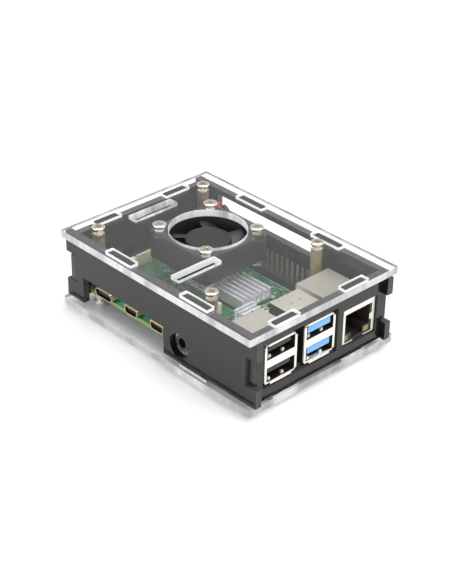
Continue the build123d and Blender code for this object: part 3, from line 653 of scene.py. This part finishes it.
# ----------------------------------------------------------------------- screws
def screw_heads(node, seat, up):
    """The node's screws, lifted off the plate by a hairline, with heads that taper in towards it."""
    lift, taper = 0.03, 0.9
    between = 1.6  # between the shank and the head's rim, from the axis
    bm, axes = mesh_of(node), axes_of(node)
    for v in bm.verts:
        p = from_datum(v.co)
        x, y, r = nearest(axes, p)
        if abs(p.z - seat) < 0.01:
            v.co.z += up * lift * MM
            if r > between:
                centre = at(x, y, p.z)
                v.co.x = centre.x + (v.co.x - centre.x) * taper
                v.co.y = centre.y + (v.co.y - centre.y) * taper
    bevel_sharp(bm, 0.07, 1, 40.0)
    return fine(node, bm)


screw_heads("cover_screws", COVER_TOP, 1)
screw_heads("fan_screws", COVER_TOP, 1)
screw_heads("base_screws", BASE_UNDER, -1)


def standoffs(slim):
    """The hexagonal standoffs, drawn in a little towards their axes."""
    between = 2.2  # between the bore and the hexagon, from the axis
    bm, axes = mesh_of("standoffs"), axes_of("standoffs")
    eased(bm)
    for v in bm.verts:
        p = from_datum(v.co)
        x, y, r = nearest(axes, p)
        if r > between:
            v.co.xy = at(x + (p.x - x) * slim, y + (p.y - y) * slim, 0).xy
    bevel_sharp(bm, 0.2, 2)
    return fine("standoffs", bm)


standoffs(0.86)


# ---------------------------------------------------------------- board parts
def header_pins(node, taper=0.35, tip_scale=0.45):
    """Square pins that narrow to tip_scale over the last taper millimetres."""
    bm = bmesh.new()
    for lo, hi in parts_of(node):
        box_into(bm, lo.x, hi.x, lo.y, hi.y, lo.z + taper, hi.z - taper)
        for z_in, z_out in ((hi.z - taper, hi.z), (lo.z + taper, lo.z)):
            tip = box_into(bm, lo.x, hi.x, lo.y, hi.y, min(z_in, z_out), max(z_in, z_out))
            c = at((lo.x + hi.x) / 2, (lo.y + hi.y) / 2, z_out)
            for v in tip:
                if abs(v.co.z - c.z) < 1e-6:
                    v.co.x = c.x + (v.co.x - c.x) * tip_scale
                    v.co.y = c.y + (v.co.y - c.y) * tip_scale
    weld(bm, flatten=False)
    inner = [f for f in bm.faces if all(len(e.link_faces) > 2 for e in f.edges)]
    bmesh.ops.delete(bm, geom=inner, context="FACES_ONLY")
    return fine(node, bm, [MATS["pin_metal"]])


header_pins("header_pins")
header_pins("power_header_pins")


def capacitors():
    """Each capacitor as a body between two metal ends."""
    bm = bmesh.new()
    end, inset = 0.3, 0.02
    for lo, hi in parts_of("ceramic_capacitors"):
        if hi.x - lo.x > hi.y - lo.y:
            box_into(bm, lo.x, lo.x + end, lo.y, hi.y, lo.z, hi.z, 1)
            box_into(bm, hi.x - end, hi.x, lo.y, hi.y, lo.z, hi.z, 1)
            box_into(bm, lo.x + end, hi.x - end, lo.y + inset, hi.y - inset, lo.z, hi.z - inset, 0)
        else:
            box_into(bm, lo.x, hi.x, lo.y, lo.y + end, lo.z, hi.z, 1)
            box_into(bm, lo.x, hi.x, hi.y - end, hi.y, lo.z, hi.z, 1)
            box_into(bm, lo.x + inset, hi.x - inset, lo.y + end, hi.y - end, lo.z, hi.z - inset, 0)
    return fine("ceramic_capacitors", bm, [MATS["ceramic"], MATS["solder"]])


capacitors()


def board_print():
    """White printing on the board: a ring, a dotted rule, and outlines round the chips."""
    bm = bmesh.new()
    z0, z1 = 0.002, 0.014
    x, y, n, r_in, r_out = 13.0, 26.5, 16, 0.75, 1.0
    for k in range(n):
        a, b = 2 * math.pi * k / n, 2 * math.pi * (k + 0.7) / n
        low, high = [[
            bm.verts.new(at(x + r * math.cos(t), y + r * math.sin(t), z))
            for r, t in ((r_in, a), (r_out, a), (r_out, b), (r_in, b))] for z in (z0, z1)]
        bm.faces.new(high)
        bm.faces.new(low[::-1])
        for i in range(4):
            j = (i + 1) % 4
            bm.faces.new((low[i], low[j], high[j], high[i]))
    for k in range(24):
        px, py = 7.0 + 0.44 * k, 21.2 + 0.05 * k
        box_into(bm, px, px + 0.22, py, py + 0.16, z0, z1)
    w = 0.13  # width of an outline
    for x0, x1, y0, y1 in (
            (8.9, 15.3, 8.9, 15.3), (53.8, 63.3, 19.5, 29.3), (53.9, 62.3, 35.5, 43.9), (38.1, 53.1, 25.3, 40.7),
            (15.0, 18.9, 8.2, 15.9), (64.0, 66.5, 12.2, 15.4), (58.0, 64.4, 42.9, 49.3), (6.2, 58.8, 49.3, 55.6)):
        box_into(bm, x0, x1, y0 - w, y0, z0, z1)
        box_into(bm, x0, x1, y1, y1 + w, z0, z1)
        box_into(bm, x0 - w, x0, y0, y1, z0, z1)
        box_into(bm, x1, x1 + w, y0, y1, z0, z1)
    return piece("board_print", bm, "green_solder_mask", "case", [MATS["white_print"]])


board_print()

# nodes shown as they are take their slot's material
for name, o in NODES.items():
    if not o.hide_render:
        o.data.materials.clear()
        o.data.materials.append(MATS[SLOT_OF[name]])


# -------------------------------------------------------- camera and daylight
def aim(o, place, target, roll_deg=0.0):
    """Puts o at place, looking at target."""
    o.location = place
    q = (target - place).to_track_quat("-Z", "Y")
    o.rotation_mode = "QUATERNION"
    o.rotation_quaternion = q @ Matrix.Rotation(math.radians(roll_deg), 4, "Z").to_quaternion()


cam = bpy.data.objects.new("camera", bpy.data.cameras.new("camera"))
bpy.context.scene.collection.objects.link(cam)
cam.data.sensor_fit = "AUTO"
cam.data.sensor_width = 36.0
cam.data.lens = 91.54
cam.data.clip_start, cam.data.clip_end = 0.02, 20.0
AZ, EL, ROLL_DEG = math.radians(46.56), math.radians(31.12), 0.832
BACK = Vector((math.sin(AZ) * math.cos(EL), -math.cos(AZ) * math.cos(EL), math.sin(EL)))
PLACE = Vector((319.35, -302.46, 279.22)) * MM
aim(cam, PLACE, PLACE - BACK, ROLL_DEG)
bpy.context.scene.camera = cam


def floor():
    """A plain pale floor, a hair below the screw heads that the object stands on."""
    half_size, drop = 12.0, 0.05
    bm = bmesh.new()
    bmesh.ops.create_grid(bm, x_segments=8, y_segments=8, size=half_size)
    me = bpy.data.meshes.new("floor")
    bm.to_mesh(me)
    bm.free()
    m = Mat("floor_white", (0.86, 0.86, 0.86, 1), 0.6)
    m.b.inputs["Specular IOR Level"].default_value = 0.2
    me.materials.append(m.m)
    o = bpy.data.objects.new("floor", me)
    o.location.z = -drop * MM
    bpy.context.scene.collection.objects.link(o)


floor()


def softbox(name, place, target, size, power):
    """A white rectangular lamp; size in metres, power in watts."""
    data = bpy.data.lights.new(name, "AREA")
    data.shape = "RECTANGLE"
    data.size, data.size_y = size
    data.energy = power
    o = bpy.data.objects.new(name, data)
    bpy.context.scene.collection.objects.link(o)
    aim(o, Vector(place), Vector(target))


softbox("top_softbox", (0.10, 0.12, 0.9), (0, 0, 0), (1.1, 1.1), 8.0)
softbox("right_softbox", (0.45, 0.35, 0.8), (0.45, 0.35, 0), (0.7, 0.7), 2.8)
softbox("front_softbox", (-0.35, -0.9, 0.35), (0, 0, 0.01), (1.0, 0.5), 2.8)

world = bpy.data.worlds.new("studio")
bpy.context.scene.world = world
world.use_nodes = True
wt = world.node_tree
bg = wt.nodes["Background"]
wtc = wt.nodes.new("ShaderNodeTexCoord")
wsep = wt.nodes.new("ShaderNodeSeparateXYZ")
ramp = wt.nodes.new("ShaderNodeValToRGB")
wt.links.new(wtc.outputs["Generated"], wsep.inputs[0])
wt.links.new(wsep.outputs[2], ramp.inputs[0])
wt.links.new(ramp.outputs[0], bg.inputs["Color"])
stops = ramp.color_ramp.elements
stops.new(0.95)
for stop, (height, grey) in zip(stops, ((0.12, 1.4), (0.42, 0.50), (0.95, 0.8))):
    stop.position = height
    stop.color = (grey, grey, grey, 1)
bg.inputs["Strength"].default_value = 1.0

bpy.context.scene.view_settings.view_transform = "Standard"
